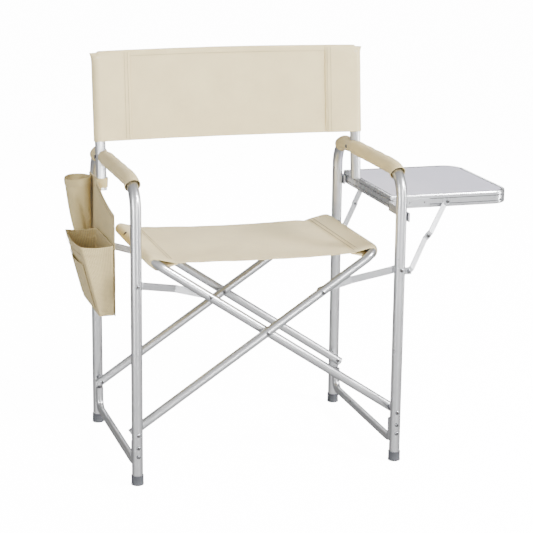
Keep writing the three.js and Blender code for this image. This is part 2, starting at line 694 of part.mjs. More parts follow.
const frontLegPin = [frontLowY - halfT - GAP, frontClipY[1] + GAP];
const rearLegPin = [rearClipY[0] - GAP + 0.1, rearLowY + halfT + 0.2];
add('brace_leg_pin_front', rivetAlongY(...fLow, ...frontLegPin), 'steel');
add('brace_leg_pin_rear', rivetAlongY(...rLow, ...rearLegPin, { heads: [false, false] }), 'steel');
const frontKnucklePin = [frontLowKnuckleY - halfT - GAP, frontLowKnuckleY + halfT];
add('knuckle_pin_front', rivetAlongY(...fMid, ...frontKnucklePin, { heads: [true, false] }), 'steel');
const rearKnucklePin = [rearLowY - halfT, rearLowY + halfT];
add('knuckle_pin_rear', rivetAlongY(...rMid, ...rearKnucklePin, { heads: [false, false] }), 'steel');
const frontTablePin = [frontTopY - halfT - GAP, TABLE.y0 + TABLE.wall + GAP];
const rearTablePin = [TABLE.y1 - TABLE.wall - GAP, rearHighY + halfT + GAP];
add('brace_table_pin_front', rivetAlongY(...fTop, ...frontTablePin), 'steel');
add('brace_table_pin_rear', rivetAlongY(...rTop, ...rearTablePin), 'steel');

// ---------------------------------------------------------------- frame
// The origin is moved to the floor under the middle of the whole object, pouch and table included.
for (const mesh of chair.children) {
  mesh.geometry.translate(-MIDDLE.x, -MIDDLE.y, 0);
}

export default chair;
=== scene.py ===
"""Folding camp chair with a side table and a hanging pouch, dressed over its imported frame."""
import json
import math

import bmesh
import bpy
from mathutils import Matrix, Vector, noise


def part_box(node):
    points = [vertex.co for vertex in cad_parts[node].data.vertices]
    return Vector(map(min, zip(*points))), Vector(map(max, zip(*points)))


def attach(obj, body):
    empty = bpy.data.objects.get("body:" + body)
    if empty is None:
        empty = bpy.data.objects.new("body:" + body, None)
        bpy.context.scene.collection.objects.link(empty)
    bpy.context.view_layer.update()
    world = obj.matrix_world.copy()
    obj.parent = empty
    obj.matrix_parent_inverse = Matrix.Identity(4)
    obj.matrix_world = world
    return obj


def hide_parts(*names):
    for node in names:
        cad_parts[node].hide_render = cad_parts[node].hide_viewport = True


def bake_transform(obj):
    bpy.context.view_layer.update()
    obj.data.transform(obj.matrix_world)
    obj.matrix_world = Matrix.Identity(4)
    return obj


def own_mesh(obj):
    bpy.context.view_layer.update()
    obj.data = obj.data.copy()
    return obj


bl_info = {
    "name": "Folding Camp Chair",
    "version": (1, 0, 0),
    "blender": (4, 5, 0),
    "location": "View3D > Sidebar > Camp Chair",
    "description": "Builds the cloth, tubes, table edge and stage of a folding camp chair",
    "category": "Object",
}

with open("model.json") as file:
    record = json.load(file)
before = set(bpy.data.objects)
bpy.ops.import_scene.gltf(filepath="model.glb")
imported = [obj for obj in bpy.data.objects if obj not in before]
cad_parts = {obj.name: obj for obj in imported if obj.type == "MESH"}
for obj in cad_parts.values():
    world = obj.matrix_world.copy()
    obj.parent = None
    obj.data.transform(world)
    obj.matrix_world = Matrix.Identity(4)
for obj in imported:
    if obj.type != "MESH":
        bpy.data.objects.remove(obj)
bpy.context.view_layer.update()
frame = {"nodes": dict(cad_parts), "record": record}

SIDES = {"left": -1, "right": 1}
ENDS = {"front": -1, "rear": 1}
CROSSING = {"left": "seat_frame_a", "right": "seat_frame_b"}
MM = 0.001

# Sizes taken from the frame: the legs give the middle that everything else is placed from.
left_low, left_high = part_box("side_frame_left")
right_low, right_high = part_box("side_frame_right")
LEG_R = 11.0
LEG_X = (right_high[0] + right_low[0] - left_high[0] - left_low[0]) / 4 / MM
LEG_Y = (left_high[1] - left_low[1]) / 2 / MM - LEG_R
ARM_Z = left_high[2] / MM - LEG_R
MIDDLE = Vector(((left_low[0] + right_high[0]) / 2, (left_low[1] + left_high[1]) / 2, 0))
SEAT_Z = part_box("seat_frame_right")[1][2] / MM - 9.0
RECLINE = math.radians(6)
POST_X = 274.0
CROSS_Z = 284.0
PIVOT_Z = 104.0
SLOPE = math.atan2(CROSS_Z - PIVOT_Z, LEG_X)
SEAT_X = 224.0
NEAR_Y = 173.5
FAR_Y = 154.5
LEG_BEND = 55.0
SEAT_BEND = 26.0


def at(x, y, z):
    """A point given in millimetres from the floor point midway between the four legs."""
    return MIDDLE + Vector((x, y, z)) * MM


def post_y(z):
    """How far back a post's centre line is at height z, in millimetres."""
    return 105.0 + (z - 630.0) * math.tan(RECLINE)


# ---------------------------------------------------------------- settings
def metres(name, description, default):
    """A length setting, in metres."""
    return bpy.props.FloatProperty(
        name=name, description=description, default=default, unit="LENGTH", precision=4
    )


def hue(name, description, default):
    """A colour setting, linear."""
    return bpy.props.FloatVectorProperty(
        name=name, description=description, default=default, subtype="COLOR", size=4, min=0, max=1
    )


def linear(code):
    """An sRGB hex value as a linear colour with alpha."""
    channels = [int(code[i : i + 2], 16) / 255 for i in (1, 3, 5)]
    return tuple(c / 12.92 if c <= 0.04045 else ((c + 0.055) / 1.055) ** 2.4 for c in channels) + (1.0,)


class ChairCloth(bpy.types.PropertyGroup):
    """Canvas, pouch cloth and thread."""

    canvas: hue("Canvas", "Colour of the seat and backrest", linear("#ead8a6"))
    # The arm covers are the same canvas as the seat; this darker colour is painted shade on their sides.
    arms: hue("Arm canvas", "Colour of the arm covers", linear("#dac795"))
    pouch: hue("Pouch cloth", "Colour of the pouch's back and bottle pocket", linear("#cab886"))
    linen: hue("Coarse cloth", "Colour of the wedge pocket", linear("#cdba88"))
    # The thread is drawn darker than the canvas, as painted shade along the seams' folds.
    thread: hue("Thread", "Colour of the stitching", linear("#8f7f58"))
    thickness: metres("Thickness", "Thickness of the canvas", 0.0013)
    weave: metres("Weave", "Distance between the drawn threads", 0.0017)
    sag: metres("Seat sag", "How far the middle of the seat hangs", 0.0035)


class ChairMetal(bpy.types.PropertyGroup):
    """Tubes, strips, rivets and the table."""

    tube: hue("Tube", "Colour of the drawn tube", linear("#dfe0e2"))
    strip: hue("Strip", "Colour of the flat strips", linear("#e3e4e7"))
    rivet: hue("Rivet", "Colour of the rivets and pins", linear("#8d8f93"))
    panel: hue("Table panel", "Colour of the table's board", linear("#cdcbda"))
    rim: hue("Table edge", "Colour of the table's edge", linear("#eeeff2"))
    foot: hue("Foot", "Colour of the foot caps", linear("#515358"))
    # Also used for the painted shade in the bottoms of the table edge's two grooves.
    groove: hue("Groove", "Colour of the joint between the table's board and edge", linear("#4a4b50"))
    wall: metres("Wall", "Wall thickness of the tubes", 0.0015)


class ChairStage(bpy.types.PropertyGroup):
    """Floor, light and camera."""

    floor: hue("Floor", "Colour of the floor", linear("#f4f4f4"))
    glow: bpy.props.FloatProperty(name="Glow", description="Brightness of the floor", default=14.0)
    sky: bpy.props.FloatProperty(name="Sky", description="Brightness of the light all round", default=0.7)
    lens: bpy.props.FloatProperty(name="Lens", description="Focal length", default=118.43, unit="CAMERA")


# ---------------------------------------------------------------- materials
def node(tree, kind, settings=None, **links):
    """Adds a shader node, sets its values, and links its inputs."""
    new = tree.nodes.new(kind)
    for key, value in (settings or {}).items():
        if isinstance(key, int) or key in new.inputs:
            new.inputs[key].default_value = value
        else:
            setattr(new, key, value)
    for name, source in links.items():
        socket = int(name[1:]) if name[0] == "_" else name
        tree.links.new(source, new.inputs[socket])
    return new


def start_material(name):
    """An empty material with its shader and output."""
    material = bpy.data.materials.new(name)
    material.use_nodes = True
    tree = material.node_tree
    tree.nodes.clear()
    shader = tree.nodes.new("ShaderNodeBsdfPrincipled")
    output = tree.nodes.new("ShaderNodeOutputMaterial")
    tree.links.new(shader.outputs[0], output.inputs[0])
    return material, tree, shader


def tinted(tree, color, factor, low, high):
    """The colour made darker or lighter by a pattern, from low to high times itself."""
    shade = node(tree, "ShaderNodeMapRange", {3: low, 4: high}, _0=factor)
    mix = node(tree, "ShaderNodeMix", {"data_type": "RGBA", "blend_type": "MULTIPLY", 0: 1.0})
    mix.inputs[6].default_value = color
    tree.links.new(shade.outputs[0], mix.inputs[7])
    return mix.outputs[2]


def woven(name, color, spacing, depth, sheen, slub=0.5, contrast=(0.93, 1.04)):
    """Plain weave on the piece's own UV map, which is in metres: threads over and under, with slubs."""
    material, tree, shader = start_material(name)
    uv = node(tree, "ShaderNodeUVMap", {"uv_map": "cloth"}).outputs[0]
    # The real threads are about half as wide; they are drawn this coarse so that the weave shows.
    bands = 2 * math.pi / (20 * spacing)
    warp = node(tree, "ShaderNodeTexWave", {"Scale": bands, "bands_direction": "X"}, Vector=uv).outputs[1]
    weft = node(tree, "ShaderNodeTexWave", {"Scale": bands, "bands_direction": "Y"}, Vector=uv).outputs[1]
    over = node(tree, "ShaderNodeTexChecker", {"Scale": 1 / spacing}, Vector=uv).outputs[1]
    weave = node(tree, "ShaderNodeMix", {}, _0=over, _2=warp, _3=weft).outputs[0]
    uneven = {"Scale": 1 / (12 * spacing), "Detail": 6.0, "Roughness": 0.7}
    slubs = node(tree, "ShaderNodeTexNoise", uneven, Vector=uv)
    broad = node(tree, "ShaderNodeTexNoise", {"Scale": 14.0, "Detail": 3.0}, Vector=uv)
    threads = tinted(tree, tuple(color), weave, *contrast)
    add = {"operation": "MULTIPLY_ADD", 1: slub}
    both = node(tree, "ShaderNodeMath", add, _0=slubs.outputs[0], _2=broad.outputs[0])
    shade = node(tree, "ShaderNodeMapRange", {1: 0.3, 2: 1.1, 3: 0.9, 4: 1.08}, _0=both.outputs[0])
    mix = node(tree, "ShaderNodeMix", {"data_type": "RGBA", "blend_type": "MULTIPLY", 0: 1.0}, _6=threads)
    tree.links.new(shade.outputs[0], mix.inputs[7])
    tree.links.new(mix.outputs[2], shader.inputs["Base Color"])
    bump = node(tree, "ShaderNodeBump", {"Strength": 0.6, "Distance": depth}, Height=weave)
    soft = node(tree, "ShaderNodeBump", {"Strength": 0.5, "Distance": depth * 3}, Height=slubs.outputs[0])
    tree.links.new(bump.outputs[0], soft.inputs["Normal"])
    tree.links.new(soft.outputs[0], shader.inputs["Normal"])
    shader.inputs["Roughness"].default_value = 0.85
    shader.inputs["Sheen Weight"].default_value = sheen
    shader.inputs["Sheen Roughness"].default_value = 0.5
    shader.inputs["Specular IOR Level"].default_value = 0.3
    return material


def metal(name, color, roughness, stretch, streak=0.12):
    """Satin metal with fine drawing lines along one direction and slight handling marks."""
    material, tree, shader = start_material(name)
    place = node(tree, "ShaderNodeTexCoord").outputs[3]
    long = node(tree, "ShaderNodeMapping", {"Scale": stretch}, Vector=place).outputs[0]
    drawn = {"Scale": 1.0, "Detail": 4.0, "Roughness": 0.6}
    lines = node(tree, "ShaderNodeTexNoise", drawn, Vector=long).outputs[0]
    handled = {"Scale": 45.0, "Detail": 5.0, "Roughness": 0.65}
    marks = node(tree, "ShaderNodeTexNoise", handled, Vector=place).outputs[0]
    shade = tinted(tree, tuple(color), lines, 1 - streak, 1 + streak * 0.5)
    tree.links.new(shade, shader.inputs["Base Color"])
    span = {1: 0.3, 2: 0.75, 3: roughness * 0.9, 4: roughness * 1.12}
    rough = node(tree, "ShaderNodeMapRange", span, _0=marks)
    tree.links.new(rough.outputs[0], shader.inputs["Roughness"])
    bump = node(tree, "ShaderNodeBump", {"Strength": 0.12, "Distance": 0.0002}, Height=lines)
    tree.links.new(bump.outputs[0], shader.inputs["Normal"])
    shader.inputs["Metallic"].default_value = 1.0
    return material


def moulded(name, color, roughness, grain, depth):
    """Moulded plastic or smooth board: fine grain in the surface and faint clouding."""
    material, tree, shader = start_material(name)
    place = node(tree, "ShaderNodeTexCoord").outputs[3]
    fine = node(tree, "ShaderNodeTexNoise", {"Scale": 1 / grain, "Detail": 3.0}, Vector=place).outputs[0]
    cloud = node(tree, "ShaderNodeTexNoise", {"Scale": 9.0, "Detail": 3.0}, Vector=place).outputs[0]
    tree.links.new(tinted(tree, tuple(color), cloud, 0.95, 1.04), shader.inputs["Base Color"])
    span = {1: 0.3, 2: 0.7, 3: roughness * 0.85, 4: roughness * 1.15}
    rough = node(tree, "ShaderNodeMapRange", span, _0=fine)
    tree.links.new(rough.outputs[0], shader.inputs["Roughness"])
    bump = node(tree, "ShaderNodeBump", {"Strength": 0.3, "Distance": depth}, Height=fine)
    tree.links.new(bump.outputs[0], shader.inputs["Normal"])
    shader.inputs["IOR"].default_value = 1.5
    return material


looks = {}


def make_materials():
    """All finishes, once the settings are registered."""
    cloth = bpy.context.scene.chair_cloth
    parts = bpy.context.scene.chair_metal
    # Polyester canvas, woven: a dull surface with a faint bloom.
    looks["canvas"] = woven("polyester_canvas", cloth.canvas, cloth.weave, 0.0003, 0.15)
    # A darker copy of the canvas: painted shade on the arm covers.
    looks["arms"] = woven("arm_canvas_painted_shade", cloth.arms, cloth.weave, 0.0003, 0.12)
    looks["pouch"] = woven("khaki_canvas", cloth.pouch, cloth.weave, 0.0003, 0.15)
    # Coarse slubby cloth: thicker threads and stronger colour change.
    looks["linen"] = woven("coarse_linen", cloth.linen, cloth.weave * 1.5, 0.0009, 0.1, 2.2, (0.66, 1.14))
    # Darker than the cloth: painted shade along the seams' folds.
    looks["thread"] = moulded("polyester_thread_with_seam_shade", cloth.thread, 0.7, 0.0008, 0.0001)
    # Drawn and anodised tube: satin, with lines along its length.
    looks["tube"] = metal("anodised_tube", parts.tube, 0.3, (260, 260, 9))
    looks["rail"] = metal("anodised_cross_tube", parts.tube, 0.3, (60, 260, 60))
    looks["strip"] = metal("pressed_strip", parts.strip, 0.34, (90, 90, 260), 0.06)
    looks["steel"] = metal("nickel_plated_rivet", parts.rivet, 0.25, (300, 300, 300), 0.05)
    # Blackened screws, and also painted shade: the dark discs in the rivets' hollows.
    looks["dark"] = moulded("blackened_screw_and_rivet_hole_shade", linear("#3b3733"), 0.45, 0.0006, 0.0001)
    looks["rim"] = metal("extruded_edge", parts.rim, 0.28, (9, 9, 400), 0.08)
    # Dark joint under the board, and painted shade in the edge's grooves.
    looks["groove"] = moulded("dark_joint_and_groove_shade", parts.groove, 0.6, 0.002, 0.00005)
    looks["panel"] = moulded("melamine_board", parts.panel, 0.42, 0.002, 0.00003)
    looks["foot"] = moulded("moulded_foot", parts.foot, 0.55, 0.0012, 0.0001)


# ---------------------------------------------------------------- mesh helpers
def to_object(bm, name, look, smooth=True):
    """Turns a bmesh into an object with one finish."""
    for face in bm.faces:
        face.smooth = smooth
    mesh = bpy.data.meshes.new(name)
    bm.to_mesh(mesh)
    bm.free()
    piece = bpy.data.objects.new(name, mesh)
    bpy.context.scene.collection.objects.link(piece)
    mesh.materials.append(looks[look])
    return piece


def settle(piece):
    """Applies the piece's modifiers, so that its mesh is final."""
    bpy.context.view_layer.update()
    graph = bpy.context.evaluated_depsgraph_get()
    final = bpy.data.meshes.new_from_object(piece.evaluated_get(graph), depsgraph=graph)
    piece.modifiers.clear()
    old = piece.data
    piece.data = final
    final.name = piece.name
    bpy.data.meshes.remove(old)
    return piece


def thicken(piece, thickness, levels=0, offset=0.0):
    """Gives a sheet its thickness, softened by a subdivision where asked."""
    if levels:
        soft = piece.modifiers.new("soften", "SUBSURF")
        soft.levels = levels
        soft.render_levels = levels
    wall = piece.modifiers.new("thickness", "SOLIDIFY")
    wall.thickness = thickness
    wall.offset = offset
    wall.use_even_offset = True
    return settle(piece)


def soften_angle(piece, degrees=40):
    """Shades curved faces smoothly and keeps sharper edges crisp."""
    piece.data.set_sharp_from_angle(angle=math.radians(degrees))
    return piece


def bent_path(corners, radius, steps=10):
    """Points and headings along straight runs joined by round bends, in metres."""
    stations = []
    last = len(corners) - 1
    stations.append((corners[0], (corners[1] - corners[0]).normalized()))
    for i in range(1, last):
        into = (corners[i] - corners[i - 1]).normalized()
        out = (corners[i + 1] - corners[i]).normalized()
        angle = into.angle(out)
        begin = corners[i] - into * radius * math.tan(angle / 2)
        side = (out - into * out.dot(into)).normalized()
        for step in range(steps + 1):
            turn = angle * step / steps
            point = begin + into * radius * math.sin(turn) + side * radius * (1 - math.cos(turn))
            stations.append((point, into * math.cos(turn) + side * math.sin(turn)))
    stations.append((corners[last], (corners[last] - corners[last - 1]).normalized()))
    return stations


def ring(bm, point, heading, normal, radius, sides):
    """A circle of edges across a path."""
    across = heading.cross(normal).normalized()
    turn = Matrix((normal, across, heading)).transposed().to_4x4()
    place = Matrix.Translation(point) @ turn
    made = bmesh.ops.create_circle(bm, segments=sides, radius=radius, matrix=place)
    verts = made["verts"]
    return list({edge for vert in verts for edge in vert.link_edges})


def loft(bm, rings):
    """Joins each ring of edges to the next."""
    for one, two in zip(rings, rings[1:]):
        bmesh.ops.bridge_loops(bm, edges=one + two)


def hollow_tube(name, stations, normal, radius, look, sides):
    """A tube along a path, with open ends that can be looked into."""
    wall = bpy.context.scene.chair_metal.wall
    bm = bmesh.new()
    (first, heading), (last, leaving) = stations[0], stations[-1]
    edge, depth = 0.0004, 0.03
    rings = [
        ring(bm, first + heading * depth, heading, normal, radius - wall, sides),
        ring(bm, first + heading * edge, heading, normal, radius - wall, sides),
        ring(bm, first, heading, normal, radius - wall / 2, sides),
        ring(bm, first + heading * edge, heading, normal, radius, sides),
    ]
    rings += [ring(bm, point, way, normal, radius, sides) for point, way in stations[1:-1]]
    rings += [
        ring(bm, last - leaving * edge, leaving, normal, radius, sides),
        ring(bm, last, leaving, normal, radius - wall / 2, sides),
        ring(bm, last - leaving * edge, leaving, normal, radius - wall, sides),
        ring(bm, last - leaving * depth, leaving, normal, radius - wall, sides),
    ]
    loft(bm, rings)
    for end in (rings[0], rings[-1]):
        bmesh.ops.holes_fill(bm, edges=end, sides=0)
    bmesh.ops.recalc_face_normals(bm, faces=bm.faces)
    return soften_angle(to_object(bm, name, look), 50)


def spun(bm, profile, sides):
    """Turns a profile of (radius, height) pairs, in metres, once round the upright axis."""
    verts = [bm.verts.new((r, 0, h)) for r, h in profile]
    edges = [bm.edges.new(pair) for pair in zip(verts, verts[1:])]
    full = {"axis": (0, 0, 1), "angle": 2 * math.pi, "steps": sides, "use_merge": True}
    bmesh.ops.spin(bm, geom=verts + edges, cent=(0, 0, 0), **full)


def turned(name, profile, centre, axis, look, sides=24):
    """A solid of revolution: (radius, height) pairs in millimetres, standing at centre along axis."""
    bm = bmesh.new()
    spun(bm, [(r * MM, h * MM) for r, h in profile], sides)
    bmesh.ops.remove_doubles(bm, verts=bm.verts, dist=0.00002)
    bmesh.ops.recalc_face_normals(bm, faces=bm.faces)
    turn = Vector((0, 0, 1)).rotation_difference(axis).to_matrix().to_4x4()
    bmesh.ops.transform(bm, matrix=Matrix.Translation(centre) @ turn, verts=bm.verts)
    return soften_angle(to_object(bm, name, look), 45)


def cloth_strip(name, profile, rows, place, look):
    """An open sheet: a profile carried through rows. place(s, t, point) gives each point's position, where
    s is the distance along the profile and t the row's own, in metres, as the sheet's UV map is."""
    bm = bmesh.new()
    along = [0.0]
    for one, two in zip(profile, profile[1:]):
        along.append(along[-1] + (Vector(two) - Vector(one)).length * MM)
    verts = [bm.verts.new(place(s, rows[0], p)) for s, p in zip(along, profile)]
    edges = [bm.edges.new(pair) for pair in zip(verts, verts[1:])]
    order = {vert: (s, rows[0]) for vert, s in zip(verts, along)}
    for row in rows[1:]:
        made = bmesh.ops.extrude_edge_only(bm, edges=edges)["geom"]
        edges = [item for item in made if isinstance(item, bmesh.types.BMEdge)]
        fresh = [item for item in made if isinstance(item, bmesh.types.BMVert)]
        below = {}
        for vert in fresh:
            others = [edge.other_vert(vert) for edge in vert.link_edges]
            below[vert] = next(other for other in others if other in order)
        for vert, source in below.items():
            s = order[source][0]
            vert.co = place(s, row, profile[along.index(s)])
        for vert, source in below.items():
            order[vert] = (order[source][0], row)
    layer = bm.loops.layers.uv.new("cloth")
    for face in bm.faces:
        for loop in face.loops:
            loop[layer].uv = order[loop.vert]
    bmesh.ops.recalc_face_normals(bm, faces=bm.faces)
    return to_object(bm, name, look), along[-1]


def closed_foot(piece, level):
    """Joins a wrapped sheet's two side edges, and closes its lowest loop, which lies under level."""
    bm = bmesh.new()
    bm.from_mesh(piece.data)
    bmesh.ops.remove_doubles(bm, verts=bm.verts, dist=0.00005)
    rim = [e for e in bm.edges if e.is_boundary and all(v.co.z < level for v in e.verts)]
    bmesh.ops.holes_fill(bm, edges=rim, sides=0)
    bmesh.ops.recalc_face_normals(bm, faces=bm.faces)
    for face in bm.faces:
        face.smooth = True
    bm.to_mesh(piece.data)
    bm.free()


def fasten(piece, body, stands_for=None):
    """Fixes a piece to its body, and in the place of a node where it stands for one."""
    if stands_for:
        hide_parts(stands_for)
    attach(piece, body)


def ripple(point, size, height):
    """Gentle unevenness of cloth, the same each time."""
    return noise.noise(point / size) * height


def stitches(name, points, outward, body):
    """A row of thread stitches along a line of points, each lying a little proud of the cloth."""
    # The real stitches are finer; they are drawn this coarse, and darker than the cloth as painted shade of
    # the seams' folds, so that the seams show.
    pitch, length, width = 4.2, 3.0, 0.6
    bm = bmesh.new()
    for one, two in zip(points, points[1:]):
        run = two - one
        if run.length < 1e-6:
            continue
        heading = run.normalized()
        count = max(1, round(run.length / (pitch * MM)))
        for i in range(count):
            centre = one + run * (i + 0.5) / count + outward * 0.2 * MM
            across = outward.cross(heading).normalized()
            turn = Matrix((heading, across, heading.cross(across))).transposed().to_4x4()
            size = Matrix.Diagonal((length * MM, width * MM, 0.7 * MM, 1))
            bmesh.ops.create_cube(bm, size=1.0, matrix=Matrix.Translation(centre) @ turn @ size)
    piece = to_object(bm, name, "thread", smooth=False)
    fasten(piece, body)
    return piece


def arc(cx, cz, radius, start, stop, steps):
    """Points round part of a circle, in millimetres and degrees."""
    return [
        (
            cx + radius * math.cos(math.radians(start + (stop - start) * i / steps)),
            cz + radius * math.sin(math.radians(start + (stop - start) * i / steps)),
        )
        for i in range(steps + 1)
    ]


def bell(share):
    """Nothing at 0 and 1, and 1 half way."""
    return math.sin(math.pi * min(1, max(0, share)))


def spread(start, stop, count):
    """Evenly spaced values, both ends included."""
    return [start + (stop - start) * i / count for i in range(count + 1)]


# ---------------------------------------------------------------- tubes
class CHAIR_OT_tubes(bpy.types.Operator):
    """Smooth hollow tubes for the side frames, lower rails and crossing frames"""

    bl_idname = "chair.tubes"
    bl_label = "Tubes"

    def execute(self, context):
        normal = Vector((1, 0, 0))
        for side, sign in SIDES.items():
            x = sign * LEG_X
            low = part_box(f"side_frame_{side}")[0][2] / MM
            path = [at(x, -LEG_Y, low), at(x, -LEG_Y, ARM_Z), at(x, LEG_Y, ARM_Z), at(x, LEG_Y, low)]
            way = bent_path(path, LEG_BEND * MM, 14)
            piece = hollow_tube(f"arm_and_legs_{side}", way, normal, LEG_R * MM, "tube", 32)
            fasten(piece, f"{side}_frame", f"side_frame_{side}")
            low_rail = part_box(f"lower_rail_{side}")
            top, z = low_rail[1][2] / MM, low_rail[0][2] / MM + 8
            y = LEG_Y - LEG_R - 8.3
            path = [at(x, -y, top), at(x, -y, z), at(x, y, z), at(x, y, top)]
            way = bent_path(path, 0.020)
            piece = hollow_tube(f"ground_rail_{side}", way, normal, 0.008, "tube", 24)
            fasten(piece, f"{side}_frame", f"lower_rail_{side}")
        along = Vector((math.cos(SLOPE), 0, math.sin(SLOPE)))
        for side, sign in SIDES.items():
            lean = Vector((sign * along.x, 0, along.z))
            foot = at(-sign * LEG_X, 0, PIVOT_Z) - lean * 0.010
            rail = at(sign * SEAT_X, 0, SEAT_Z)
            near, far = (-sign * NEAR_Y * MM, sign * FAR_Y * MM)
            shift = [Vector((0, near, 0)), Vector((0, far, 0))]
            path = [foot + shift[0], rail + shift[0], rail + shift[1], foot + shift[1]]
            across = lean.cross(Vector((0, 1, 0))).normalized()
            way = bent_path(path, SEAT_BEND * MM, 12)
            piece = hollow_tube(f"crossing_tube_{side}", way, across, 0.009, "rail", 28)
            fasten(piece, CROSSING[side], f"seat_frame_{side}")
        return {"FINISHED"}


# ---------------------------------------------------------------- feet, rivets and screws
class CHAIR_OT_fittings(bpy.types.Operator):
    """Foot caps, the rivets of the lower rails, and painted shade in the hollows of the rivets' heads"""

    bl_idname = "chair.fittings"
    bl_label = "Feet and rivets"

    rivet_heights = (60, 78)
    headed = ("pivot_pin", "link_pin", "frame_rivet", "cross_pin", "brace_table", "knuckle_pin_front")

    def execute(self, context):
        sole = [(0, 0.2), (10.6, 0.2), (11.4, 0), (12.6, 0.9), (12.8, 2.2), (12.5, 4.2), (12.3, 5.0)]
        lip = [(12.3, 18.2), (12.6, 18.9), (12.5, 19.7), (11.8, 20), (11.3, 19.6), (11.3, 3.7), (0, 3.7)]
        cap = sole + lip
        dome = [(0, 1.5), (1.3, 1.5), (1.5, 1.3), (1.7, 1.9), (3.0, 1.7), (4.0, 1.0), (4.3, 0.2)]
        dome += [(4.3, -0.6), (0, -0.6)]
        for side, sign in SIDES.items():
            for end, way in ENDS.items():
                spot = at(sign * LEG_X, way * LEG_Y, 0)
                piece = turned(f"foot_cap_{side}_{end}", cap, spot, Vector((0, 0, 1)), "foot", 32)
                fasten(piece, f"{side}_frame", f"foot_{side}_{end}")
                for i, z in enumerate(self.rivet_heights):
                    spot = at(sign * LEG_X, way * (LEG_Y + LEG_R - 0.1), z)
                    name = f"rail_rivet_{side}_{end}_{i + 1}"
                    rivet = turned(name, dome, spot, Vector((0, way, 0)), "steel")
                    fasten(rivet, f"{side}_frame")
        # Painted shade in the rivets' hollows.
        self.rivet_hole_shade()
        return {"FINISHED"}

    def rivet_hole_shade(self):
        """Painted shade: a dark disc in the hollow of the front head of each rivet."""
        hollow = [(0, 0.25), (1.5, 0.2), (2.0, 0.05), (2.0, -0.5), (0, -0.5)]
        bodies = frame["record"]["behaviour"]["bodies"]
        for body, names in bodies.items():
            for name in names:
                if not name.startswith(self.headed):
                    continue
                low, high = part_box(name)
                spot = Vector(((low[0] + high[0]) / 2, low[1], (low[2] + high[2]) / 2))
                piece = turned(f"{name}_hollow", hollow, spot, Vector((0, -1, 0)), "dark", 12)
                fasten(piece, body)
        for side, sign in SIDES.items():
            for i, z in enumerate(self.rivet_heights):
                spot = at(sign * LEG_X, -LEG_Y - LEG_R - 1.4, z)
                name = f"rail_rivet_{side}_hollow_{i + 1}"
                piece = turned(name, hollow, spot, Vector((0, -1, 0)), "dark", 12)
                fasten(piece, f"{side}_frame")


# ---------------------------------------------------------------- seat
def rail_shift(sign, y):
    """How far a seat rail's centre has bent away inwards at y, in millimetres."""
    front = NEAR_Y if sign > 0 else FAR_Y
    rear = FAR_Y if sign > 0 else NEAR_Y
    over = max(-front + SEAT_BEND - y, y - (rear - SEAT_BEND), 0)
    return SEAT_BEND * (1 - math.cos(math.asin(min(over / SEAT_BEND, 0.95))))


class CHAIR_OT_seat(bpy.types.Operator):
    """Seat canvas, sewn into a sleeve round each rail"""

    bl_idname = "chair.seat"
    bl_label = "Seat"

    def execute(self, context):
        cloth = context.scene.chair_cloth
        seam, level, radius = 183, SEAT_Z - 1.5, 10.9
        sag = cloth.sag / MM
        # From the seam underneath, round the rail, and back over it to the stitched step.
        left = [(-seam + 6, level - 2.4), (-seam, level - 2.2), (-seam - 10, level - 3.2)]
        left += arc(-SEAT_X, SEAT_Z, radius, -80, -285, 14)
        left += [(-seam - 12, level + 5.0), (-seam - 1.5, level + 1.6)]
        right = [(-x, z) for x, z in reversed(left)]
        top = [(x, level - sag * (1 - (x / seam) ** 2)) for x in spread(-seam, seam, 34)]
        profile = left + top + right
        rows = [y * MM for y in [-164, -161.5, -159, -154] + spread(-148, 148, 28) + [154, 158, 160.5, 163]]

        def place(s, t, point):
            x, z = point
            share = (x + SEAT_X) / (2 * SEAT_X)
            run = t / MM
            slant = 15 * (1 - share) - 1.5 if run < 0 else 1.5 - 15 * share
            y = run + slant * min(1.0, abs(run) / 148) ** 2
            sign = 1 if x > 0 else -1
            near_rail = min(1.0, max(0.0, (abs(x) - 170) / 40))
            shift = rail_shift(sign, y) * near_rail
            edge = 1.0 - min(1.0, (164 - abs(run)) / 40)
            dip = -1.2 * edge * (1 - near_rail)
            spot = at(x - sign * shift * math.cos(SLOPE), y, z - shift * math.sin(SLOPE) + dip)
            crease = ripple(Vector((spot.x * 2.2, spot.y * 0.9, 3.1)), 0.07, 0.0012) * (1 - near_rail)
            pull = 0.0010 * math.sin(spot.y * 150 + x) * math.exp(-((abs(x) - 176) / 14) ** 2)
            spot.z += crease + pull
            return spot

        piece, width = cloth_strip("seat_canvas", profile, rows, place, "canvas")
        thicken(piece, cloth.thickness, 1)
        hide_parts("seat_fabric")
        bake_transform(piece)
        for side, sign in SIDES.items():
            self.seams(side, sign, seam, level)
        for side, sign in SIDES.items():
            self.screw(side, sign)
        return {"FINISHED"}

    def seams(self, side, sign, seam, level):
        """Two rows of stitches along one sleeve."""
        for i, gap in enumerate((2, 9)):
            x, z = sign * (seam + gap), level + 2.5 + gap * 0.34
            points = [at(x, y, z) for y in spread(-140 if sign < 0 else -155, 140, 12)]
            stitches(f"seat_seam_{side}_{i + 1}", points, Vector((0, 0, 1)), CROSSING[side])

    def screw(self, side, sign):
        """The screw that holds one sleeve to its rail."""
        out = Vector((sign * math.cos(math.radians(50)), 0, math.sin(math.radians(50))))
        spot = at(sign * SEAT_X, 69, SEAT_Z) + out * 0.0108
        profile = [(0, 1.0), (1.4, 0.9), (1.6, 1.7), (3.2, 1.5), (4.1, 0.8), (4.4, -0.3), (0, -0.3)]
        screw = turned(f"seat_screw_{side}", profile, spot, out, "dark")
        fasten(screw, CROSSING[side])


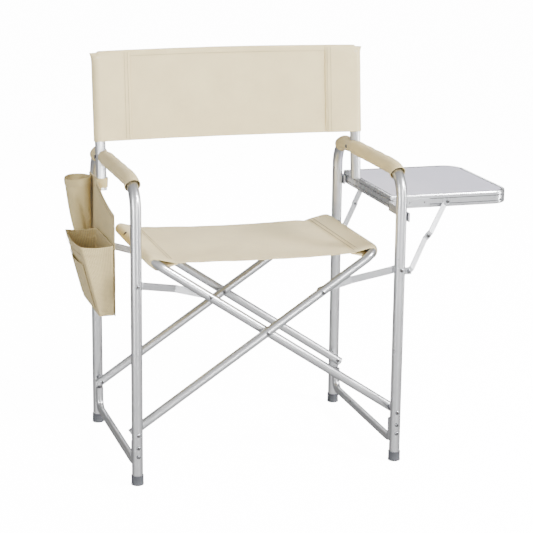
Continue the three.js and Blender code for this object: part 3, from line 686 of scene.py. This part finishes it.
# ---------------------------------------------------------------- backrest
class CHAIR_OT_backrest(bpy.types.Operator):
    """Backrest canvas: a panel between two sewn sleeves that are closed at the top"""

    bl_idname = "chair.backrest"
    bl_label = "Backrest"

    bottom, top, seam = 629.0, 809.0, 212.0

    def point(self, x, n, t):
        """A place on the backrest: x across, n forwards of the posts' plane, t up it, all in millimetres."""
        z = self.bottom + t * math.cos(RECLINE)
        y = post_y(self.bottom) + t * math.sin(RECLINE)
        return at(x, y - n * math.cos(RECLINE), z + n * math.sin(RECLINE))

    def execute(self, context):
        cloth = context.scene.chair_cloth
        tall = (self.top - self.bottom) / math.cos(RECLINE)
        shares = [0, 0.012, 0.025, 0.05] + spread(0.1, 0.86, 14)
        shares += [0.9, 0.93, 0.955, 0.975, 0.988, 1.0]
        rows = [v * tall * MM for v in shares]
        for side, sign in SIDES.items():
            self.sleeve(cloth, side, sign, rows, tall)
        self.panel(cloth, rows, tall)
        return {"FINISHED"}

    def sleeve(self, cloth, side, sign, rows, tall):
        """The cloth round one post, from its rear seam round to the front one."""
        radius = 12.3
        around = arc(POST_X, 0, radius, -104, 104, 20)
        profile = [(self.seam - 2, -1.8), (self.seam + 12, -3.4), (self.seam + 34, -7.6)] + around
        profile += [(self.seam + 34, 8.6), (self.seam + 12, 4.4)]
        profile += [(self.seam - 2, 2.6), (self.seam - 3.2, 0.6)]

        def place(s, t, point):
            x, n = point
            up = t / MM / tall
            close = max(0.0, (up - 0.9) / 0.1) ** 1.6
            flat = POST_X + (x - POST_X) * 1.32 if x > POST_X else x
            x = x + (flat - x) * close
            n = n * (1 - 0.93 * close)
            bulge = 1.3 * math.sin(math.pi * min(1, up * 1.1)) if x < POST_X - 8 else 0
            loose = 1 + 0.07 * max(0, 0.12 - up) / 0.12
            n = n * loose + (bulge * 0.3 if n > 0 else -bulge * 0.3)
            rise = 2.0 * max(0.0, (POST_X + 14 - x) / 70) * up
            spot = self.point(sign * x, n, t / MM + rise * min(1.0, up * 1.5) - 3.0 * close * (x > POST_X))
            soft = ripple(Vector((x * 0.0005, t * 2.0, 7.7 * sign)), 0.05, 0.0011)
            return spot + Vector((0, -soft, 0))

        piece, width = cloth_strip(f"backrest_sleeve_{side}", profile, rows, place, "canvas")
        thicken(piece, cloth.thickness, 1)
        fasten(piece, f"{side}_frame")
        for i, x in enumerate((self.seam + 1, self.seam + 8)):
            n = 3.9 + (x - self.seam) * 0.14
            points = [self.point(sign * x, n, t) for t in spread(3, tall * 0.985, 10)]
            out = Vector((0, -math.cos(RECLINE), math.sin(RECLINE)))
            stitches(f"backrest_seam_{side}_{i + 1}", points, out, f"{side}_frame")

    def panel(self, cloth, rows, tall):
        """The panel between the seams, bowed back a little, with a hem along its top and bottom."""
        half = self.seam + 4
        profile = [(x, 0) for x in spread(-half, half, 44)]

        def place(s, t, point):
            x = point[0]
            up = t / MM / tall
            middle = 1 - (x / half) ** 2
            rise = 2.0 + 2.2 * middle
            bow = -7.5 * middle + 0.2
            hem = 0.8 if up > 0.93 or up < 0.06 else 0.0
            lift = 0.9 * middle * (1 - up)
            spot = self.point(x, bow + hem, t / MM + rise * up + lift)
            soft = ripple(Vector((spot.x, 0.3 * spot.z + 1.7, 5.0)), 0.05, 0.0018)
            pull = 0.0009 * math.sin(up * 26) * math.exp(-((abs(x) - half) / 16) ** 2)
            return spot + Vector((0, soft + pull, 0))

        piece, width = cloth_strip("backrest_panel", profile, rows, place, "canvas")
        thicken(piece, cloth.thickness, 1)
        fasten(piece, "left_frame", "backrest_fabric")
        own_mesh(piece)
        out = Vector((0, -math.cos(RECLINE), math.sin(RECLINE)))
        lines = []
        for x in spread(-half + 8, half - 8, 30):
            middle = 1 - (x / half) ** 2
            lines.append(self.point(x, -7.5 * middle + 1.6, tall * 0.93 + 2 + 2.2 * middle))
        thread = stitches("backrest_hem", lines, out, "left_frame")
        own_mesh(thread)


# ---------------------------------------------------------------- arm covers
class CHAIR_OT_arms(bpy.types.Operator):
    """Canvas sleeves on the arms, sewn underneath"""

    bl_idname = "chair.arms"
    bl_label = "Arm covers"

    def execute(self, context):
        cloth = context.scene.chair_cloth
        bend, turn = LEG_BEND, 32.0
        flat = LEG_Y - bend
        total = 2 * flat + 2 * bend * math.radians(turn)
        girth = 2 * math.pi * 14.7
        for side, sign in SIDES.items():
            x0 = sign * LEG_X
            profile = [(u * girth / 2, 0) for u in spread(-1.0, 1.0, 28)]
            ends = [0, 1.5, 4, 9]
            runs = ends + spread(16, total - 16, 34) + [total - v for v in reversed(ends)]
            rows = [v * MM for v in runs]

            def place(s, t, point, x0=x0):
                run = t / MM - total / 2
                over = max(0.0, abs(run) - flat)
                angle = math.copysign(over / bend, run)
                y = max(-flat, min(flat, run)) + bend * math.sin(angle)
                z = ARM_Z - bend * (1 - math.cos(angle))
                up = Vector((0, math.sin(angle), math.cos(angle)))
                round_ = point[0] / (girth / 2) * math.pi * 0.985
                end = math.exp(-((abs(run) - total / 2) / 5) ** 2)
                post = math.exp(-((run - post_y(ARM_Z)) / 26) ** 4)
                radius = 14.7 + 0.5 * end + 0.35 * math.sin(run * 0.11 + 2 * round_) - 2.2 * post
                spare = (radius - 12.6) * 0.75
                radius += 2.2 * max(0.0, abs(round_) / math.pi - 0.93) / 0.07
                spot = at(x0, y, z)
                round_up = Vector((1, 0, 0)) * math.sin(round_) + up * math.cos(round_)
                return spot + (round_up * radius + up * spare * 0.6) * MM

            piece, width = cloth_strip(f"arm_cover_{side}", profile, rows, place, "arms")
            thicken(piece, cloth.thickness, 1)
            fasten(piece, f"{side}_frame", f"arm_sleeve_{side}")
            points = [at(x0 + 2.0, y, ARM_Z - 15.9) for y in spread(-flat, 70, 12)]
            stitches(f"arm_seam_{side}", points, Vector((0.3, 0, -1)).normalized(), f"{side}_frame")
        return {"FINISHED"}


# ---------------------------------------------------------------- pouch
PANEL_X = -284.4


def panel_top(y):
    """Height of the pouch's upper edge at y, in millimetres."""
    knots = [(-82, 516), (-40, 520), (0, 526), (55, 540), (85, 550), (100, 555), (170, 556)]
    for (y0, z0), (y1, z1) in zip(knots, knots[1:]):
        if y <= y1:
            share = (y - y0) / (y1 - y0)
            return z0 + (z1 - z0) * share
    return knots[-1][1]


def panel_foot(y):
    """Height of the pouch's lower edge at y, in millimetres."""
    if y < 102:
        return 311.0
    return 311.0 + (y - 102) / 68 * 95


class CHAIR_OT_pouch(bpy.types.Operator):
    """Pouch hung on the left side: back panel, post loop, bottle pocket and wedge pocket"""

    bl_idname = "chair.pouch"
    bl_label = "Pouch"

    def execute(self, context):
        cloth = context.scene.chair_cloth
        self.thick = cloth.thickness
        self.back()
        self.loop()
        self.bottle()
        self.wedge()
        return {"FINISHED"}

    def back(self):
        """The back panel, with its slanting upper edge."""
        profile = [(y, 0) for y in spread(-81, 168, 36)]
        rows = [v for v in [0, 0.01, 0.03] + spread(0.08, 0.92, 20) + [0.97, 0.99, 1.0]]

        def place(s, t, point):
            y = point[0]
            low, high = panel_foot(y), panel_top(y)
            z = low + (high - low) * t
            hem = 0.5 * (t > 0.95)
            return at(PANEL_X - hem + 0.8 * noise.noise(Vector((y / 40, z / 40, 2))), y, z)

        piece = cloth_strip("pouch_back", profile, rows, place, "pouch")[0]
        layer = piece.data.uv_layers["cloth"]
        for loop in piece.data.loops:
            spot = piece.data.vertices[loop.vertex_index].co
            layer.data[loop.index].uv = (spot.y, spot.z)
        thicken(piece, self.thick, 1)
        fasten(piece, "left_frame", "pouch_panel")
        area = sum((panel_top(y) - panel_foot(y)) * 249 / 36 for y in spread(-78, 165, 35)) * MM * MM
        out = Vector((-1, 0, 0))
        edge = [at(PANEL_X - 1.4, y, panel_top(y) - 8) for y in spread(-80, 95, 24)]
        stitches("pouch_edge_seam", edge, out, "left_frame")

    def loop(self):
        """The band that holds the pouch to the back post."""
        girth = 2 * math.pi * 13.0
        profile = [(u * girth / 2, 0) for u in spread(-1, 1, 24)]
        rows = [v * MM for v in spread(0, 19, 6)]

        def place(s, t, point):
            angle = point[0] / (girth / 2) * math.pi * 0.97 + math.pi
            z = 537 + t / MM
            radius = 13.0 + 0.5 * math.sin(angle * 3 + z * 0.2)
            y = post_y(z)
            return at(-POST_X - radius * math.cos(angle), y + radius * math.sin(angle), z)

        piece, width = cloth_strip("pouch_loop", profile, rows, place, "pouch")
        thicken(piece, self.thick, 1)
        fasten(piece, "left_frame")

    def bottle(self):
        """The round pocket, which narrows and creases towards its foot."""
        low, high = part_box("pouch_bottle_pocket")
        foot, head = low[2] / MM, high[2] / MM
        tall = head - foot
        centre_y = ((low[1] + high[1]) / 2 - MIDDLE.y) / MM
        inner = (high[0] - MIDDLE.x) / MM
        girth = 2 * math.pi * 25
        profile = [(u * girth, 0) for u in spread(0, 1, 40)]
        shares = [0, 0.02, 0.05] + spread(0.1, 0.84, 18) + [0.87, 0.885, 0.9, 0.94, 0.98, 1.0]
        rows = [v * tall * MM for v in shares]

        def place(s, t, point):
            angle = point[0] / girth * 2 * math.pi
            up = t / MM / tall
            radius = 13.0 + 15.0 * up ** 0.8
            crease = (1 - up) ** 0.7 * 5.0 * math.sin(3 * angle + 1.3 + 3.4 * up)
            crease += 3.0 * math.sin(5 * angle + 9 * up) * (1 - up)
            band = 0.7 if up > 0.885 else 0.0
            lip = 1.2 * max(0.0, up - 0.97) / 0.03
            radius += crease * 0.8 + band - lip - 0.9
            flatten = 1 - 0.10 * max(0.0, math.cos(angle)) * (1 - up)
            centre = inner - (15.0 + 13.0 * up ** 0.8) - 3.2 * (1 - up) - 0.8
            sink = -4.5 * max(0.0, up - 0.85) / 0.15 * max(0.0, math.cos(angle + 2.6))
            x = centre + radius * flatten * math.cos(angle)
            return at(x, centre_y + radius * math.sin(angle), foot + tall * up + sink)

        piece = cloth_strip("bottle_pocket", profile, rows, place, "pouch")[0]
        closed_foot(piece, (foot + 5) * MM)
        thicken(piece, self.thick, 1)
        fasten(piece, "left_frame", "pouch_bottle_pocket")

    def wedge(self):
        """The lower pocket: a wedge with an open top, a hem band and sewn corners."""
        low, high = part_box("pouch_wedge_pocket")
        y0, y1 = ((low[1] - MIDDLE.y) / MM, (high[1] - MIDDLE.y) / MM)
        z0, z1 = low[2] / MM, high[2] / MM
        inner = (high[0] - MIDDLE.x) / MM
        top, bottom = 66.0, 30.0
        y1 -= 14.0
        deep = y1 - y0
        section = [(u, y0) for u in spread(0.0, 1.0, 10)]
        section += [(1.0, y) for y in spread(y0, y1, 26)[1:]]
        section += [(u, y1) for u in spread(1.0, 0.0, 10)[1:]]
        section += [(0.0, y) for y in spread(y1, y0, 26)[1:]]
        profile = [(u * 45, y) for u, y in section]
        tall = z1 - z0
        shares = [0, 0.015, 0.04] + spread(0.08, 0.82, 16) + [0.855, 0.87, 0.885, 0.93, 0.97, 1.0]
        rows = [v * tall * MM for v in shares]

        def place(s, t, point):
            u, y = point[0] / 45, point[1]
            up = t / MM / tall
            wide = bottom + (top - bottom) * up
            band = 0.9 if up > 0.87 else 0.0
            side = -1 if y <= y0 else (1 if y >= y1 else 0)
            face = bell((y - y0) / deep) * (u > 0.99)
            end = bell(u) * abs(side)
            puff = face * (3.2 * bell(up) + 3.0 * up)
            dent = 2.2 * end * bell(up * 1.1)
            x = inner - 0.8 - u * (wide - 1.6 + band) - puff * 0.6
            y = y + side * (band - dent * 0.5)
            drop = -(5.0 * face + 3.0 * end) * max(0.0, (up - 0.7) / 0.3)
            rough = noise.noise(Vector((y / 22, z0 + tall * up, u * 2))) * 0.5
            return at(x - rough * (u > 0.5), y, z0 + tall * up + drop)

        piece, width = cloth_strip("wedge_pocket", profile, rows, place, "linen")
        closed_foot(piece, (z0 + 3) * MM)
        thicken(piece, self.thick * 1.1, 1)
        fasten(piece, "left_frame", "pouch_wedge_pocket")
        out = Vector((-1, 0, -0.2)).normalized()
        front = Vector((0, -1, 0))
        heights = [(v, z0 + tall * v) for v in spread(0.02, 0.98, 14)]
        corner = [at(inner - (bottom + (top - bottom) * v) + 0.6, y0 - 0.5, z) for v, z in heights]
        stitches("wedge_corner_seam", corner, (out + front).normalized(), "left_frame")
        inside = [at(inner - 3.5, y0 + 0.2, z) for v, z in heights]
        stitches("wedge_back_seam", inside, front, "left_frame")
        hem_z = z0 + tall * 0.885
        hem = [at(inner - 2 - v * (top - 8), y0 - 0.6, hem_z - 1.5 * bell(v)) for v in spread(0.02, 1, 8)]
        stitches("wedge_hem_front", hem, front, "left_frame")
        hem_x = inner - (bottom + (top - bottom) * 0.885) - 2.4
        sides = [(v, bell(v)) for v in spread(0.02, 0.98, 18)]
        hem = [at(hem_x - 2.8 * b, y0 + deep * v, hem_z - 2.6 * b) for v, b in sides]
        stitches("wedge_hem_side", hem, out, "left_frame")
        self.flat_pocket(inner, y0, deep, z0, tall, top, bottom)

    def flat_pocket(self, inner, y0, deep, z0, tall, top, bottom):
        """The small flat pocket on the wedge's outer face."""
        profile = [(v * deep, 0) for v in spread(0.10, 0.90, 20)]
        rows = [v * tall * MM for v in spread(0.10, 0.74, 16)]

        def place(s, t, point):
            across = point[0] / deep
            up = t / MM / tall
            wide = bottom + (top - bottom) * up
            puff = bell(across) * (3.2 * bell(up) + 3.0 * up)
            gape = bell((across - 0.1) / 0.8)
            own = 1.6 + 2.6 * gape * max(0.0, (up - 0.1) / 0.64) ** 2
            drop = -4.0 * gape * max(0.0, (up - 0.5) / 0.24)
            return at(inner - wide - puff * 0.6 - own, y0 + across * deep, z0 + tall * up + drop)

        piece, width = cloth_strip("flat_pocket", profile, rows, place, "linen")
        thicken(piece, self.thick, 1)
        fasten(piece, "left_frame")


# ---------------------------------------------------------------- table
class CHAIR_OT_table(bpy.types.Operator):
    """The grooved edge of the side table, painted shade in its grooves, the dark joint between board and
    edge, and the rivets of its hinge
    """

    bl_idname = "chair.table"
    bl_label = "Table edge"

    def outline(self, low, high, inset, corner):
        """The table's outline at one inset, as points in metres."""
        x0, y0, x1, y1 = low[0] + inset, low[1] + inset, high[0] - inset, high[1] - inset
        r = max(corner - inset, 0.002)
        points = [(x0, y0)]
        points += [(x1 - r + r * math.sin(a), y0 + r - r * math.cos(a)) for a in spread(0, math.pi / 2, 10)]
        points += [(x1 - r + r * math.cos(a), y1 - r + r * math.sin(a)) for a in spread(0, math.pi / 2, 10)]
        points.append((x0, y1))
        return points

    def execute(self, context):
        low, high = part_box("table_rim")
        # From the inner wall down, under, up the grooved outer face, and over the rolled top.
        section = [
            (7.6, 0.78), (7.6, 0.05), (6.8, 0.0), (0.9, 0.0), (0.2, 0.03), (0.0, 0.07),
            (0.0, 0.22), (1.6, 0.225), (1.6, 0.275), (0.0, 0.28),
            (0.0, 0.64), (1.6, 0.645), (1.6, 0.695), (0.0, 0.70),
            (0.0, 0.86), (0.4, 0.93), (1.4, 0.985), (2.8, 1.0), (4.2, 0.985), (5.4, 0.955), (7.6, 0.945),
        ]
        piece = self.band("table_edge", section, low, high, "rim")
        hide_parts("table_rim")
        # Dark bands in the bottoms of the two grooves are painted shade; the board joint is a dark joint.
        for name, inner, outer, foot, head in (
            ("edge_groove_shade_low", 2.4, 1.1, 0.225, 0.275),
            ("edge_groove_shade_high", 2.4, 1.1, 0.645, 0.695),
            ("board_joint", 7.9, 5.7, 0.90, 0.975),
        ):
            corners = [(inner, foot), (outer, foot), (outer, head), (inner, head)]
            self.band(name, corners, low, high, "groove")
        dome = [(0, 1.2), (1.2, 1.1), (2.6, 0.8), (3.4, 0.2), (3.5, -0.3), (0, -0.3)]
        for i, x in enumerate((325, 357)):
            spot = at(x, -92.2, 512)
            rivet = turned(f"hinge_plate_rivet_{i + 1}", dome, spot, Vector((0, -1, 0)), "steel")
            fasten(rivet, "table")
        return {"FINISHED"}

    def band(self, name, section, low, high, look):
        """A closed ring round the table: (inset in millimetres, share of the height) pairs."""
        bm = bmesh.new()
        loops = []
        for inset, share in section:
            points = self.outline(low, high, inset * MM, 0.040)
            z = low[2] + (high[2] - low[2]) * share
            loops.append([bm.verts.new((x, y, z)) for x, y in points])
        for one, two in zip(loops, loops[1:] + loops[:1]):
            for i in range(len(one)):
                bm.faces.new((one[i - 1], one[i], two[i], two[i - 1]))
        bmesh.ops.recalc_face_normals(bm, faces=bm.faces)
        piece = soften_angle(to_object(bm, name, look), 35)
        fasten(piece, "table")
        return piece


# ---------------------------------------------------------------- finishes of the carried nodes
class CHAIR_OT_finishes(bpy.types.Operator):
    """Finishes for the frame's own strips, pins, plates and panel"""

    bl_idname = "chair.finishes"
    bl_label = "Finishes"

    by_name = {"back_post": "tube", "table_panel": "panel", "table_rim": "rim", "foot": "foot"}
    steel = ("pin", "rivet", "screw")

    def execute(self, context):
        for name, item in frame["nodes"].items():
            look = "strip"
            if any(word in name for word in self.steel):
                look = "steel"
            for word, other in self.by_name.items():
                if name.startswith(word):
                    look = other
            if name.startswith(("side_frame", "lower_rail", "seat_frame")):
                look = "tube"
            if not item.material_slots:
                raise RuntimeError(f"{name} has no material slot")
            for slot in item.material_slots:
                slot.material = looks[look]
        return {"FINISHED"}


# ---------------------------------------------------------------- stage
class CHAIR_OT_stage(bpy.types.Operator):
    """Camera, floor and soft light, in metres and watts"""

    bl_idname = "chair.stage"
    bl_label = "Stage"

    def execute(self, context):
        stage = context.scene.chair_stage
        yaw, pitch, roll = 0.29355, 0.24565, 0.01129
        ahead = Vector((math.sin(yaw) * math.cos(pitch), math.cos(yaw) * math.cos(pitch), -math.sin(pitch)))
        right = Vector((math.cos(yaw), -math.sin(yaw), 0))
        level_up = right.cross(ahead)
        up = level_up * math.cos(roll) - right * math.sin(roll)
        right = right * math.cos(roll) + level_up * math.sin(roll)
        lens = bpy.data.cameras.new("camera")
        lens.lens = stage.lens
        lens.sensor_width = 36
        camera = bpy.data.objects.new("camera", lens)
        context.scene.collection.objects.link(camera)
        place = Matrix((right, up, -ahead)).transposed().to_4x4()
        place.translation = MIDDLE + Vector((-0.9639, -3.3538, 1.2513))
        camera.matrix_world = place
        context.scene.camera = camera

        # The floor sweeps up into a wall far away, so that every view has the same plain ground.
        bm = bmesh.new()
        spun(bm, [(0, 0), (9, 0), (11, 0.4), (12.4, 1.6), (13, 4), (13, 14), (0, 15)], 64)
        looks["floor"] = moulded("pale_floor", stage.floor, 0.9, 0.02, 0.0001)
        glow = looks["floor"].node_tree.nodes["Principled BSDF"]
        glow.inputs["Emission Color"].default_value = (1, 1, 1, 1)
        glow.inputs["Emission Strength"].default_value = stage.glow
        floor = to_object(bm, "floor", "floor")
        floor.visible_diffuse = False
        floor.visible_glossy = False
        floor.visible_shadow = False

        world = bpy.data.worlds.new("studio")
        context.scene.world = world
        world.use_nodes = True
        # The room is bright at the front and dimmer behind, which rounds the tubes.
        tree = world.node_tree
        around = node(tree, "ShaderNodeSeparateXYZ", _0=node(tree, "ShaderNodeTexCoord").outputs[0])
        settings = {1: -0.9, 2: 0.35, 3: stage.sky * 1.5, 4: stage.sky * 0.45}
        level = node(tree, "ShaderNodeMapRange", settings, _0=around.outputs[1])
        tree.links.new(level.outputs[0], tree.nodes["Background"].inputs[1])
        tree.nodes["Background"].inputs[0].default_value = (1.0, 1.0, 1.0, 1)
        for name, spot, wide, tall, power in (
            ("key", (2.2, -2.2, 2.5), 0.8, 0.8, 225),
            ("left strip", (-2.6, -1.7, 0.9), 0.22, 2.2, 60),
            ("front strip", (0.4, -3.2, 0.9), 0.22, 2.2, 45),
            ("right strip", (2.7, -0.9, 0.9), 0.22, 2.2, 45),
            ("back", (0.6, 2.4, 2.6), 1.4, 1.4, 60),
        ):
            data = bpy.data.lights.new(name, "AREA")
            data.shape = "RECTANGLE"
            data.size = wide
            data.size_y = tall
            data.energy = power
            lamp = bpy.data.objects.new(name, data)
            context.scene.collection.objects.link(lamp)
            lamp.location = spot
            lamp.rotation_euler = (Vector((0, 0, 0.4)) - Vector(spot)).to_track_quat("-Z", "Y").to_euler()
        return {"FINISHED"}


class CHAIR_PT_panel(bpy.types.Panel):
    """Lists the chair's pieces and settings"""

    bl_idname = "CHAIR_PT_panel"
    bl_label = "Camp Chair"
    bl_space_type = "VIEW_3D"
    bl_region_type = "UI"
    bl_category = "Camp Chair"

    def draw(self, context):
        for operator in STEPS:
            self.layout.operator(operator.bl_idname)
        for group in (context.scene.chair_cloth, context.scene.chair_metal, context.scene.chair_stage):
            box = self.layout.box()
            for name in group.__annotations__:
                box.prop(group, name)


STEPS = (
    CHAIR_OT_stage,
    CHAIR_OT_finishes,
    CHAIR_OT_tubes,
    CHAIR_OT_fittings,
    CHAIR_OT_table,
    CHAIR_OT_seat,
    CHAIR_OT_backrest,
    CHAIR_OT_arms,
    CHAIR_OT_pouch,
)
GROUPS = {"chair_cloth": ChairCloth, "chair_metal": ChairMetal, "chair_stage": ChairStage}


def register():
    """Registers the settings, operators and panel."""
    for name, group in GROUPS.items():
        bpy.utils.register_class(group)
        setattr(bpy.types.Scene, name, bpy.props.PointerProperty(type=group))
    for item in STEPS + (CHAIR_PT_panel,):
        bpy.utils.register_class(item)


def unregister():
    """Takes them all away again."""
    for item in reversed(STEPS + (CHAIR_PT_panel,)):
        bpy.utils.unregister_class(item)
    for name, group in GROUPS.items():
        delattr(bpy.types.Scene, name)
        bpy.utils.unregister_class(group)


def main():
    """Builds the whole scene."""
    register()
    make_materials()
    for operator in STEPS:
        module, name = operator.bl_idname.split(".")
        getattr(getattr(bpy.ops, module), name)()


if __name__ == "__main__":
    main()
